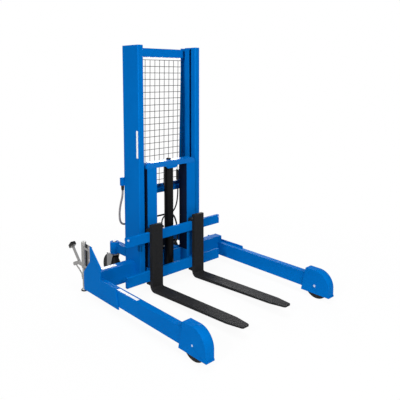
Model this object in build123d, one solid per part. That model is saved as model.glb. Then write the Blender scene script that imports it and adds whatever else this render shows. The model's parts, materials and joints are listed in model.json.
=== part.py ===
from build123d import *
import math
import os

# Straddle stacker, millimetres, +Z up, forks towards -Y, near leg of the floor lock at -X.
# Pieces are placed from the mast's front face (y = 0), and moved at the end so that the origin
# lies on the floor under the middle of the footprint.

# Mast
mast_width = 614.0
mast_depth = 204.0
mast_height = 1880.0
mast_foot = 60.0
upright_width = 49.0
rear_flange = 30.0
upright_wall = 8.0
upright_corner = 7.0
front_lip = 50.0
roller_slot = 27.0
rear_lip = 50.0
crossmember_depth = 38.0
crossmember_wall = 4.0
mid_crossmember_bottom = 700.0
mid_crossmember_height = 34.0
mid_upstand_height = 32.0
top_crossmember_drop = 12.0
top_crossmember_height = 68.0
stop_height = 12.0

# Mesh guard
mesh_wire = 4.0
mesh_gaps_across = 12
mesh_gaps_up = 20
mesh_gap_to_crossmember = 19.0
mesh_lap = 18.0
mesh_edge = 7.0
mesh_strip_width = 14.0
mesh_strip_thickness = 4.0

# Base
leg_outer_width = 1280.0
leg_width = 48.0
leg_bottom = 61.0
leg_height = 111.0
leg_wall = 5.0
beam_front = 70.0
beam_depth = 76.0
beam_bottom = 82.0
beam_height = 140.0
beam_wall = 6.0
plate_thickness = 10.0
plate_bottom = 46.0
plate_top = 187.0
plate_rear = 251.0
plate_front_bottom = 212.0
plate_front_top = 180.0
fin_front = 16.0
fin_shoulder = 279.0
fin_top = 402.0
fin_top_front = 150.0
fin_rear = 157.0
fin_knee = 288.0
fin_rear_shoulder = 184.0

# Load wheels and their housings
wheel_diameter = 203.0
wheel_width = 48.0
wheel_bore = 14.0
wheel_hub_diameter = 90.0
load_axle_reach = 970.0
housing_wall = 6.0
wheel_side_gap = 4.0
housing_radius = 115.0
housing_bottom = 37.0
housing_back_low = 125.0
housing_back_high = 86.0
housing_step_in = 4.0
housing_tab = 4.0
housing_tab_height = 12.0
axle_head = 9.0
axle_head_height = 9.0
tyre_corner = 8.0
hub_rim = 10.0
hub_boss = 9.0
hub_recess = 8.0

# Rear casters
caster_x = 307.0
caster_y = 355.0
caster_trail = 40.0
socket_diameter = 73.0
socket_bottom = 220.0
socket_height = 92.0
stem_diameter = 30.0
stem_end = 6.0
thrust_step = 6.0
thrust_gap = 0.5
arm_bottom = 228.0
arm_height = 74.0
arm_wall = 5.0
yoke_gap = 5.0
yoke_wall = 6.0
yoke_crown = 9.0
yoke_crown_gap = 3.0
yoke_leg_width = 46.0
caster_axle = 12.0
caster_head = 8.0

# Carriage
post_outer = 242.0
post_width = 89.0
post_front = -15.0
post_depth = 82.0
post_wall = 5.0
carriage_bottom = 94.0
carriage_top = 993.0
crossbar_height = 43.0
crossbar_depth = 68.0
crossbar_corner = 40.0
upper_bar_bottom = 402.0
upper_bar_height = 74.0
lower_bar_bottom = 94.0
lower_bar_height = 83.0
bar_length = 942.0
bar_thickness = 26.0
bar_front = -65.0
bar_corner = 4.0
standoff_width = 76.0
hook_catch = 32.0
stop_bolt_inset = 9.0
stop_bolt_drop = 16.0
stop_bolt_diameter = 12.0
stop_bolt_head = 16.0
stop_bolt_head_height = 8.0
stop_bolt_end = 4.0
stop_nut = 19.0
roller_lower = 285.0
roller_upper = 640.0
roller_gap = 0.4
roller_side_gap = 3.0
roller_stub = 24.0
roller_plate = 12.0
roller_plate_height = 100.0
roller_corner = 2.0
roller_rim = 14.0
roller_boss = 12.0
roller_recess = 5.0

# Forks
fork_spread = 214.0
fork_width = 102.0
fork_thickness = 29.5
fork_length = 907.0
fork_heel_top = 44.0
fork_rise = 36.0
fork_tip_thickness = 10.0
fork_heel_radius = 46.0
fork_inner_radius = 12.0
fork_edge = 2.0
fork_top = 536.0
fork_tip_taper = 130.0
fork_tip_width = 62.0
fork_tip_corner = 18.0
hook_thickness = 18.0
hook_gap = 0.6
hook_end_gap = 4.0
hook_lower_height = 32.0

# Ram
ram_y = 31.0
ram_diameter = 73.0
ram_wall = 5.5
ram_plate = 12.0
ram_plate_width = 180.0
ram_plate_front = -8.0
gland_height = 26.0
gland_collar = 74.0
gland_collar_height = 12.0
sleeve_diameter = 54.0
sleeve_wall = 5.0
plunger_diameter = 38.0
plunger_stud = 20.0
stud_end = 2.0
ram_stage_gap = 2.0
ram_nut = 28.0
ram_nut_height = 10.0
ram_floor_gap = 14.0
ram_port_height = 258.0
ram_port_width = 26.0
ram_port_reach = 22.5
ram_port_length = 17.0
saddle_width = 128.0
saddle_lower_width = 84.0
saddle_drop = 20.0
saddle_thickness = 8.0

# Power unit and controls
shelf_thickness = 6.0
shelf_side_gap = 4.0
shelf_right = 160.0
shelf_front = 110.0
shelf_rear = 335.0
tank_x = (-190.0, -40.0)
tank_y = (200.0, 330.0)
tank_height = 100.0
tank_corner = 10.0
tank_wall = 3.0
block_height = 40.0
block_inset = 25.0
block_edge = 6.0
hose_boss_width = 28.0
hose_boss_offset = 20.0
hose_boss_reach = 22.0
hose_riser_height = 4.0
motor_diameter = 110.0
motor_height = 165.0
motor_cap = 12.0
motor_gland_height = 102.0
battery_x = (-20.0, 150.0)
battery_y = (196.0, 330.0)
battery_height = 95.0
battery_corner = 8.0
control_x = (248.0, 304.0)
control_z = (762.0, 855.0)
control_depth = 34.0
control_corner = 4.0
button_diameter = 20.0
button_height = 7.0
button_travel = 4.0
button_spacing = 44.0
button_gap = 0.08
button_edge = 2.0
junction_x = (-330.0, -294.0)
junction_z = (800.0, 862.0)
junction_depth = 26.0
gland_diameter = 20.0
gland_length = 16.0
control_gland_diameter = 16.0
control_gland_inset = 11.0
control_gland_back = 4.0
block_gland_inset = 22.0

# Floor lock
lock_y = 290.0
lock_post_diameter = 26.0
lock_post_top = 394.0
lock_foot_bottom = 17.0
lock_foot_diameter = 52.0
lock_foot_inset = 1.0
lock_foot_edge = 2.5
lock_cup_diameter = 46.0
lock_cup_height = 12.0
lock_foot_height = 10.0
lock_guide = (200.0, 400.0)
lock_guide_diameter = 37.0
lock_webs = (208.0, 350.0)
lock_web_height = 18.0
lock_web_inset = 4.0
lock_plate_reach = 34.0
lock_plate_thickness = 6.0
lock_plate_gap = 2.0
lock_pivot = (358.0, 222.0)
lock_crank_end = (440.0, 186.0)
lock_pad_end = (450.0, 314.0)
lock_collar_z = 122.0
lock_collar_reach = 34.0
lock_collar_height = 24.0
lock_collar_wall = 5.0
lock_arm_thickness = 8.0
lock_arm_width = 28.0
lock_pin_diameter = 10.0
lock_pin_end = 4.0
lock_rod_diameter = 10.0
lock_side_gap = 2.0
pad_length = 58.0
pad_width = 44.0
pad_thickness = 24.0
pad_corner = 10.0
pad_edge = 8.0
pad_wall = 5.0
tread_thickness = 5.0
tread_sink = 2.0

# Fits
running = 0.05
open_pivot = 1.2
weld_gap = 0.05

# Hoses and cables: outside diameters, and points of their routes
hose_diameter = 14.0
control_cable_diameter = 12.0
lead_diameter = 16.0
hose_lead_out = 64.0
bend_share = 0.45
hose_middle = [
    (-80.0, 187.5, 474.0), (-46.0, 182.0, 501.0), (8.0, 176.0, 504.0), (58.0, 168.0, 506.0), (108.0, 155.0, 513.0),
    (147.0, 145.0, 488.0), (164.0, 138.0, 436.0), (170.0, 130.0, 384.0), (168.0, 119.0, 334.0), (148.0, 105.0, 290.0),
]
control_cable_middle = [
    (254.0, 223.0, 622.0), (241.0, 220.0, 560.0), (212.0, 217.0, 508.0), (166.0, 216.0, 483.0),
    (118.0, 218.0, 484.0), (84.0, 221.0, 455.0), (78.0, 225.5, 408.0), (54.0, 230.5, 366.0),
]
lead_middle = [
    (-329.0, 219.0, 664.0), (-340.0, 220.0, 610.0), (-342.0, 222.0, 556.0), (-330.0, 230.0, 508.0),
    (-296.0, 247.0, 478.0),
]

# Worked out from the sizes above
half_mast = mast_width / 2
upright_inner = half_mast - upright_width
web_inner = half_mast - upright_wall
lip_inner = upright_inner + upright_wall
flange_inner = half_mast - rear_flange
slot_end = front_lip + roller_slot
guide_end = slot_end + rear_lip
roller_y = (upright_wall + guide_end - upright_wall) / 2
roller_radius = (guide_end - 2 * upright_wall) / 2 - roller_gap
leg_outer = leg_outer_width / 2
leg_inner = leg_outer - leg_width
leg_top = leg_bottom + leg_height
beam_rear = beam_front + beam_depth
beam_top = beam_bottom + beam_height
plate_outer = leg_outer + plate_thickness
wheel_radius = wheel_diameter / 2
housing_width = wheel_width + 2 * (wheel_side_gap + housing_wall)
housing_outer = plate_outer - housing_step_in
wheel_x = housing_outer - housing_width / 2
housing_top = wheel_radius + housing_radius
housing_back = load_axle_reach - housing_back_low
leg_front = load_axle_reach - (housing_back_low + housing_back_high) / 2
top_crossmember_bottom = mast_height - top_crossmember_drop - top_crossmember_height
post_inner = post_outer - post_width
post_rear = post_front + post_depth
bar_rear = bar_front + bar_thickness
upper_bar_top = upper_bar_bottom + upper_bar_height
crossbar_bottom = carriage_top - crossbar_height
fork_back = bar_front - hook_gap
fork_front = fork_back - fork_thickness
hook_rear = bar_rear + hook_gap + hook_thickness
ram_bottom = beam_bottom + ram_plate
ram_radius = ram_diameter / 2
sleeve_radius = sleeve_diameter / 2
plunger_radius = plunger_diameter / 2
ram_top = crossbar_bottom - gland_collar_height / 2
shelf_left = shelf_side_gap - upright_inner
shelf_top = beam_top + shelf_thickness
tank_top = shelf_top + tank_height
block_top = tank_top + block_height
motor_x = (tank_x[0] + tank_x[1]) / 2
motor_y = (tank_y[0] + tank_y[1]) / 2
block_x = (tank_x[0] + block_inset, tank_x[1] - block_inset)
block_y = (tank_y[0] + block_inset / 2, tank_y[1] - block_inset / 2)
control_rear = mast_depth + control_depth
hose_start = (motor_x + hose_boss_offset, block_y[0] - hose_boss_reach, block_top + hose_riser_height)
port_y = ram_y + ram_radius + ram_port_reach
hose_end = (ram_port_width / 2 + ram_port_length, port_y, ram_port_height)
cable_start = (
    control_x[0] + control_gland_inset,
    mast_depth + control_depth / 2 + control_gland_back,
    control_z[0] - gland_length,
)
cable_end = (block_x[1] + gland_length, block_y[0] + block_gland_inset, tank_top + block_height / 2)
lead_start = (
    (junction_x[0] + junction_x[1]) / 2,
    mast_depth + junction_depth / 2,
    junction_z[0] - gland_length,
)
lead_end = (motor_x - motor_diameter / 2 - gland_length, motor_y, block_top + motor_gland_height)
lock_x = lock_foot_diameter / 2 + lock_foot_inset - plate_outer
rear_reach = caster_y + caster_trail + wheel_radius
front_reach = load_axle_reach + housing_radius + housing_tab
origin_shift = (front_reach - rear_reach) / 2


def block(x, y, z):
    """Box between two places on each axis."""
    centre = Pos((x[0] + x[1]) / 2, (y[0] + y[1]) / 2, (z[0] + z[1]) / 2)
    return centre * Box(abs(x[1] - x[0]), abs(y[1] - y[0]), abs(z[1] - z[0]))


def box_tube(x, y, z, wall, along):
    """Rectangular tube, open at both ends of the axis it runs along."""
    inside = []
    for axis, span in zip("xyz", (x, y, z)):
        inset = 0.0 if axis == along else wall
        inside.append((span[0] + inset, span[1] - inset))
    return block(x, y, z) - block(*inside)


def rod_x(y, z, x, radius):
    """Round bar along X."""
    return Pos((x[0] + x[1]) / 2, y, z) * Rot(0, 90, 0) * Cylinder(radius, x[1] - x[0])


def rod_y(x, z, y, radius):
    """Round bar along Y."""
    return Pos(x, (y[0] + y[1]) / 2, z) * Rot(90, 0, 0) * Cylinder(radius, y[1] - y[0])


def rod_z(x, y, z, radius):
    """Round bar along Z."""
    return Pos(x, y, (z[0] + z[1]) / 2) * Cylinder(radius, z[1] - z[0])


def hexagon_y(x, z, y, across):
    """Hexagonal bar along Y."""
    plane = Plane(origin=(x, y[0], z), x_dir=(1, 0, 0), z_dir=(0, 1, 0))
    return extrude(plane * RegularPolygon(across / math.sqrt(3), 6), y[1] - y[0])


def hexagon_x(y, z, x, across):
    """Hexagonal bar along X."""
    plane = Plane(origin=(x[0], y, z), x_dir=(0, 1, 0), z_dir=(1, 0, 0))
    return extrude(plane * RegularPolygon(across / math.sqrt(3), 6), x[1] - x[0])


def side_face(wire_parts, x):
    """Face in a side view: its points are (y, z), at one x."""
    return Plane(origin=(x, 0, 0), x_dir=(0, 1, 0), z_dir=(1, 0, 0)) * make_face(wire_parts)


def side_slab(points, x):
    """Flat piece with a straight-edged side view, between two places along X."""
    return extrude(side_face(Polyline(*points, close=True), x[0]), x[1] - x[0])


def mirrored(piece):
    return mirror(piece, about=Plane.YZ)


def group(*pieces):
    return Compound(children=list(pieces))


def corner_radii(points):
    """Largest even bend at each corner of a route."""
    places = [Vector(*point) for point in points]
    radii = []
    for before, corner, after in zip(places, places[1:], places[2:]):
        turn = math.radians((corner - before).get_angle(after - corner))
        shorter = min((corner - before).length, (after - corner).length)
        radii.append(bend_share * shorter / math.tan(turn / 2))
    return radii


def flexible(name, points, diameter):
    """Hose or cable: a round tube along straight runs joined by arcs."""
    radii = corner_radii(points)
    path = FilletPolyline(*points, radius=radii)
    start = Plane(origin=path @ 0, z_dir=path % 0)
    print(name, "length", round(path.length, 1), "least radius", round(min(radii), 1))
    return sweep(start * Circle(diameter / 2), path=path)


def upright():
    """Right upright: deep channel with a front lip, and an angle behind the roller slot."""
    z = (mast_foot, mast_height)
    channel = Polyline(
        (upright_inner, 0), (half_mast, 0), (half_mast, mast_depth), (flange_inner, mast_depth),
        (flange_inner, mast_depth - upright_wall), (web_inner, mast_depth - upright_wall),
        (web_inner, upright_wall), (lip_inner, upright_wall), (lip_inner, front_lip),
        (upright_inner, front_lip),
        close=True,
    )
    section = make_face(channel)
    outer_corners = section.vertices().sort_by(Axis.X)[-2:]
    front_edge = section.vertices().filter_by(lambda v: abs(v.X - upright_inner) < 1e-6 and abs(v.Y) < 1e-6)
    section = fillet(outer_corners + front_edge, upright_corner)
    channel_piece = extrude(Pos(0, 0, z[0]) * section, z[1] - z[0])
    angle = Polyline(
        (upright_inner, slot_end), (lip_inner, slot_end), (lip_inner, guide_end - upright_wall),
        (web_inner, guide_end - upright_wall), (web_inner, guide_end), (upright_inner, guide_end),
        close=True,
    )
    angle_piece = extrude(Pos(0, 0, z[0]) * make_face(angle), z[1] - z[0])
    return group(channel_piece, angle_piece)


def mast():
    """Fixed frame that the carriage climbs in."""
    right = upright()
    rear = (mast_depth - crossmember_depth, mast_depth)
    width = (-flange_inner, flange_inner)
    middle_top = mid_crossmember_bottom + mid_crossmember_height
    middle = box_tube(width, rear, (mid_crossmember_bottom, middle_top), crossmember_wall, "x")
    upstand_y = (mast_depth - upright_wall, mast_depth)
    middle = middle + block(width, upstand_y, (middle_top, middle_top + mid_upstand_height))
    top_z = (top_crossmember_bottom, top_crossmember_bottom + top_crossmember_height)
    stop_y = (upright_wall, guide_end - upright_wall)
    stop = block((lip_inner, web_inner), stop_y, (mast_height - stop_height, mast_height))
    return {
        "left_upright": mirrored(right),
        "right_upright": right,
        "mid_crossmember": middle,
        "top_crossmember": box_tube(width, rear, top_z, crossmember_wall, "x"),
        "carriage_stops": group(stop, mirrored(stop)),
    }


def mesh_guard():
    """Flat net of square gaps behind two side strips, on the uprights' rear flanges."""
    net_rear = mast_depth - upright_wall
    net_front = net_rear - mesh_wire
    low = mid_crossmember_bottom + mid_crossmember_height + mid_upstand_height
    high = top_crossmember_bottom
    strip_y = (net_front - mesh_strip_thickness, net_front)
    strip = block((web_inner - mesh_strip_width, web_inner), strip_y, (low, high))
    half_net = web_inner - mesh_edge
    net_low = low - mesh_lap
    net_high = high - mesh_gap_to_crossmember
    step_x = (2 * half_net - mesh_wire) / mesh_gaps_across
    step_z = (net_high - net_low - mesh_wire) / mesh_gaps_up
    face = Rectangle(2 * half_net, net_high - net_low)
    holes = GridLocations(step_x, step_z, mesh_gaps_across, mesh_gaps_up) * Rectangle(
        step_x - mesh_wire, step_z - mesh_wire
    )
    plane = Plane(origin=(0, net_rear, (net_low + net_high) / 2), x_dir=(1, 0, 0), z_dir=(0, -1, 0))
    net = extrude(plane * (face - holes), mesh_wire)
    return {"mesh_guard": net, "mesh_strips": group(strip, mirrored(strip))}


def side_plate(with_fin):
    """Right-hand root plate of a leg; the one with a fin carries the floor lock."""
    points = [
        (plate_rear, plate_bottom), (-plate_front_bottom, plate_bottom), (-plate_front_top, plate_top),
    ]
    if with_fin:
        points += [
            (fin_front, plate_top), (fin_front, fin_shoulder), (fin_top_front, fin_top), (fin_rear, fin_top),
            (fin_rear, fin_knee), (plate_rear, fin_rear_shoulder),
        ]
    else:
        points += [(beam_rear, plate_top), (plate_rear, fin_rear_shoulder)]
    return side_slab(points, (leg_outer, plate_outer))


def base():
    """Crossbeam, legs and the plates at their roots."""
    y = (beam_front, beam_rear)
    z = (beam_bottom, beam_top)
    centre = box_tube((-upright_inner, upright_inner), y, z, beam_wall, "x")
    outer = box_tube((half_mast, leg_outer), y, z, beam_wall, "x")
    leg_y = (-leg_front, beam_front - weld_gap)
    leg = box_tube((leg_inner, leg_outer), leg_y, (leg_bottom, leg_top), leg_wall, "y")
    return {
        "base_beams": group(centre, outer, mirrored(outer)),
        "left_leg": mirrored(leg),
        "right_leg": leg,
        "left_side_plate": mirrored(side_plate(True)),
        "right_side_plate": side_plate(False),
    }


def housing_outline(inset):
    """Side view of a wheel housing, drawn in by an even inset."""
    radius = housing_radius - inset
    top = wheel_radius + radius
    front = -load_axle_reach - radius
    slope = (housing_back_low - housing_back_high) / (housing_top - housing_bottom)
    back_low = -housing_back - inset
    back_high = -housing_back - inset - slope * (top - housing_bottom)
    low = (back_low, housing_bottom)
    high = (back_high, top)
    crown = (-load_axle_reach, top)
    nose = (front, wheel_radius)
    middle = math.radians(135)
    waist = (-load_axle_reach + radius * math.cos(middle), wheel_radius + radius * math.sin(middle))
    return [
        Line(low, high), Line(high, crown), ThreePointArc(crown, waist, nose),
        Line(nose, (front, housing_bottom)), Line((front, housing_bottom), low),
    ]


def wheel_housings():
    """Welded hood over each load wheel, closed in front and on top, open below."""
    x = (housing_outer - housing_width, housing_outer)
    outside = extrude(side_face(housing_outline(0), x[0]), housing_width)
    inner_width = housing_width - 2 * housing_wall
    inside = extrude(side_face(housing_outline(housing_wall), x[0] + housing_wall), inner_width)
    front = -load_axle_reach - housing_radius
    tab = block(x, (front - housing_tab, front), (housing_bottom, housing_bottom + housing_tab_height))
    bolt_hole = rod_x(-load_axle_reach, wheel_radius, x, wheel_bore / 2 - running)
    hood = outside - inside + tab - bolt_hole
    leg_end = block((leg_inner, leg_outer), (-leg_front, -housing_back), (leg_bottom, leg_top))
    hood = hood - leg_end
    shank = rod_x(-load_axle_reach, wheel_radius, x, wheel_bore / 2 - running)
    inner_head = hexagon_x(-load_axle_reach, wheel_radius, (x[0] - axle_head_height, x[0]), 2 * axle_head)
    bolt = shank + inner_head
    return {
        "left_wheel_housing": mirrored(hood),
        "right_wheel_housing": hood,
        "load_wheel_axles": group(bolt, mirrored(bolt)),
    }


def wheel_pair(x, y, bore):
    """Tyre and hub of one wheel, standing on the floor."""
    hub_radius = wheel_hub_diameter / 2
    whole = fillet(Cylinder(wheel_radius, wheel_width).edges(), tyre_corner)
    place = Pos(x, y, wheel_radius) * Rot(0, 90, 0)
    tyre = place * (whole - Cylinder(hub_radius, wheel_width))
    recess = Cylinder(hub_radius - hub_rim, hub_recess) - Cylinder(bore / 2 + hub_boss, hub_recess)
    hub = Cylinder(hub_radius, wheel_width) - Cylinder(bore / 2, wheel_width)
    recess_z = (wheel_width - hub_recess) / 2
    hub = hub - Pos(0, 0, recess_z) * recess - Pos(0, 0, -recess_z) * recess
    return tyre, place * hub


def load_wheels():
    tyre, hub = wheel_pair(wheel_x, -load_axle_reach, wheel_bore)
    return {"left_load_wheel": group(mirrored(tyre), mirrored(hub)), "right_load_wheel": group(tyre, hub)}


def casters():
    """Arm and socket behind each upright, swivel yoke, wheel and axle."""
    socket_z = (socket_bottom, socket_bottom + socket_height)
    outside = rod_z(caster_x, caster_y, socket_z, socket_diameter / 2)
    socket = outside - rod_z(caster_x, caster_y, socket_z, stem_diameter / 2 + running)
    arm_x = (upright_inner, half_mast)
    arm_z = (arm_bottom, arm_bottom + arm_height)
    arm = box_tube(arm_x, (mast_depth + weld_gap, caster_y), arm_z, arm_wall, "y") - outside
    arm = arm.solids().sort_by(SortBy.VOLUME)[-1]
    axle_y = caster_y + caster_trail
    half_gap = wheel_width / 2 + yoke_gap
    crown_bottom = wheel_diameter + yoke_crown_gap
    crown_z = (crown_bottom, crown_bottom + yoke_crown)
    crown_y = (caster_y - yoke_leg_width / 2, axle_y + yoke_leg_width / 2)
    crown_x = (caster_x - half_gap - yoke_wall, caster_x + half_gap + yoke_wall)
    crown = block(crown_x, crown_y, crown_z)
    legs = []
    for side in (-1, 1):
        inner = caster_x + side * half_gap
        outer = caster_x + side * (half_gap + yoke_wall)
        span = (min(inner, outer), max(inner, outer))
        points = [
            (crown_y[0], crown_z[1]), (crown_y[1], crown_z[1]), (axle_y + yoke_leg_width / 2, wheel_radius),
            (axle_y, wheel_radius - yoke_leg_width / 2), (axle_y - yoke_leg_width / 2, wheel_radius),
        ]
        legs.append(side_slab(points, span))
    stem = rod_z(caster_x, caster_y, (crown_z[0], socket_z[1] + stem_end), stem_diameter / 2)
    thrust_z = (crown_z[0], socket_bottom - thrust_gap)
    thrust = rod_z(caster_x, caster_y, thrust_z, socket_diameter / 2 - thrust_step)
    axle = rod_x(axle_y, wheel_radius, (crown_x[0] - caster_head, crown_x[1] + caster_head), caster_axle / 2)
    heads = []
    for start in (crown_x[0] - caster_head, crown_x[1]):
        heads.append(hexagon_x(axle_y, wheel_radius, (start, start + caster_head), 2 * caster_axle))
    yoke = crown + legs[0] + legs[1] + stem + thrust - axle
    axle = axle + heads[0] + heads[1]
    tyre, hub = wheel_pair(caster_x, axle_y, caster_axle + 2 * running)
    swivel = group(yoke, axle)
    return {
        "caster_mounts": group(arm, socket, mirrored(arm), mirrored(socket)),
        "left_caster_yoke": mirrored(swivel),
        "right_caster_yoke": swivel,
        "left_caster_tyre": mirrored(tyre),
        "right_caster_tyre": tyre,
        "left_caster_hub": mirrored(hub),
        "right_caster_hub": hub,
    }


def carriage():
    """Inverted U frame that climbs the mast, with the two fork bars on its front."""
    post_z = (carriage_bottom, crossbar_bottom)
    post = box_tube((post_inner, post_outer), (post_front, post_rear), post_z, post_wall, "z")
    section = Rectangle(2 * post_outer, crossbar_height)
    section = fillet(section.vertices().sort_by(Axis.Y)[-2:], crossbar_corner)
    middle_z = crossbar_bottom + crossbar_height / 2
    front = Plane(origin=(0, post_front, middle_z), x_dir=(1, 0, 0), z_dir=(0, -1, 0))
    bar_body = extrude(front * section, -crossbar_depth)
    hollow_half = post_outer - crossbar_corner
    hollow_y = (post_front + post_wall, post_front + crossbar_depth - post_wall)
    hollow_top = carriage_top - post_wall
    bar_body = bar_body - block((-hollow_half, hollow_half), hollow_y, (crossbar_bottom + post_wall, hollow_top))
    post_opening = block((post_inner + post_wall, hollow_half), hollow_y, (crossbar_bottom, hollow_top))
    bar_body = bar_body - post_opening - mirrored(post_opening)
    stud_hole = rod_z(0, ram_y, (crossbar_bottom, carriage_top), plunger_stud / 2)
    crossbar = bar_body - stud_hole
    half = bar_length / 2
    bars = {}
    for name, bottom, height in (
        ("upper_fork_bar", upper_bar_bottom, upper_bar_height),
        ("lower_fork_bar", lower_bar_bottom, lower_bar_height),
    ):
        bar = block((-half, half), (bar_front, bar_rear), (bottom, bottom + height))
        bar = fillet(bar.edges().filter_by(Axis.X), bar_corner)
        for side in (-1, 1):
            hole_z = bottom + height - stop_bolt_drop
            hole_x = side * (half - stop_bolt_inset)
            bar = bar - rod_y(hole_x, hole_z, (bar_front, bar_rear), stop_bolt_diameter / 2)
        bars[name] = bar
    pad_x = (post_outer - (post_width + standoff_width) / 2, post_outer - (post_width - standoff_width) / 2)
    pad_y = (bar_rear, post_front)
    upper_pad = block(pad_x, pad_y, (upper_bar_bottom, upper_bar_top - hook_catch))
    lower_pad = block(pad_x, pad_y, (lower_bar_bottom + hook_catch, lower_bar_bottom + lower_bar_height))
    bolts = []
    for bottom, height in ((upper_bar_bottom, upper_bar_height), (lower_bar_bottom, lower_bar_height)):
        place = (half - stop_bolt_inset, bottom + height - stop_bolt_drop)
        shank_y = (bar_front - stop_bolt_head_height, bar_rear + stop_bolt_head_height + stop_bolt_end)
        bolt = rod_y(*place, shank_y, stop_bolt_diameter / 2)
        bolt = bolt + rod_y(*place, (bar_front - stop_bolt_head_height, bar_front), stop_bolt_head / 2)
        bolt = bolt + hexagon_y(*place, (bar_rear, bar_rear + stop_bolt_head_height), stop_nut)
        bolts += [bolt, mirrored(bolt)]
    saddle_points = Polyline(
        (-saddle_width / 2, crossbar_bottom), (saddle_width / 2, crossbar_bottom),
        (saddle_lower_width / 2, crossbar_bottom - saddle_drop),
        (-saddle_lower_width / 2, crossbar_bottom - saddle_drop), close=True,
    )
    saddle_plane = Plane(origin=(0, post_front, 0), x_dir=(1, 0, 0), z_dir=(0, -1, 0))
    saddle = extrude(saddle_plane * make_face(saddle_points), -saddle_thickness)
    return {
        "carriage_posts": group(
            post, upper_pad, lower_pad, mirrored(post), mirrored(upper_pad), mirrored(lower_pad)
        ),
        "carriage_crossbar": crossbar,
        "ram_saddle": saddle,
        **bars,
        "bar_stop_bolts": group(*bolts),
    }


def rollers():
    """Plates on the posts with stub axles through the slots, and a roller on each stub."""
    brackets = []
    pieces = {}
    roller_x = (lip_inner + roller_side_gap, web_inner - roller_side_gap)
    for name, height in (("lower", roller_lower), ("upper", roller_upper)):
        plate_y = (0.0, roller_y + roller_stub)
        plate_z = (height - roller_plate_height / 2, height + roller_plate_height / 2)
        plate = block((post_outer, post_outer + roller_plate), plate_y, plate_z)
        stub = rod_x(roller_y, height, (post_outer + roller_plate, roller_x[1]), roller_stub / 2)
        bracket = plate + stub
        brackets += [bracket, mirrored(bracket)]
        width = roller_x[1] - roller_x[0]
        body = fillet(Cylinder(roller_radius, width).edges(), roller_corner)
        groove = Cylinder(roller_radius - roller_rim, roller_recess)
        groove = groove - Cylinder(roller_stub / 2 + roller_boss, roller_recess)
        body = body - Pos(0, 0, (width - roller_recess) / 2) * groove
        body = body - Cylinder(roller_stub / 2 + running, width)
        roller = Pos((roller_x[0] + roller_x[1]) / 2, roller_y, height) * Rot(0, -90, 0) * body
        pieces[f"{name}_right_roller"] = roller
        pieces[f"{name}_left_roller"] = mirrored(roller)
    return {"roller_brackets": group(*brackets), **pieces}


def fork():
    """Right-hand fork: forged L with a rising tapered blade, and welded hooks round the bars."""
    tip = fork_front - fork_length
    tip_top = fork_heel_top + fork_rise
    heel_bottom = fork_heel_top - fork_thickness
    outline = FilletPolyline(
        (fork_back, fork_top), (fork_back, heel_bottom), (tip, tip_top - fork_tip_thickness), (tip, tip_top),
        (fork_front, fork_heel_top), (fork_front, fork_top),
        radius=[fork_heel_radius, fork_edge, fork_edge, fork_inner_radius],
    )
    closing = Line((fork_front, fork_top), (fork_back, fork_top))
    x = (fork_spread - fork_width / 2, fork_spread + fork_width / 2)
    body = extrude(side_face([outline, closing], x[0]), fork_width)
    tip_x = (fork_spread - fork_tip_width / 2, fork_spread + fork_tip_width / 2)
    plan = FilletPolyline(
        (x[0], hook_rear), (x[0], tip + fork_tip_taper), (tip_x[0], tip), (tip_x[1], tip),
        (x[1], tip + fork_tip_taper), (x[1], hook_rear),
        radius=[fork_width, fork_tip_corner, fork_tip_corner, fork_width],
    )
    body = body & extrude(make_face([plan, Line((x[1], hook_rear), (x[0], hook_rear))]), fork_top)
    hook_y = (fork_back, hook_rear)
    lip_y = (bar_rear + hook_gap, hook_rear)
    hook_bottom = upper_bar_top + hook_gap
    top = block(x, hook_y, (hook_bottom, hook_bottom + hook_thickness))
    top_lip = block(x, lip_y, (upper_bar_top - hook_catch + hook_end_gap, hook_bottom))
    low_z = (lower_bar_bottom - hook_gap - hook_lower_height, lower_bar_bottom - hook_gap)
    low = block(x, hook_y, low_z)
    low_lip = block(x, lip_y, (lower_bar_bottom - hook_gap, lower_bar_bottom + hook_catch - hook_end_gap))
    return body + top + top_lip + low + low_lip


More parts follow.
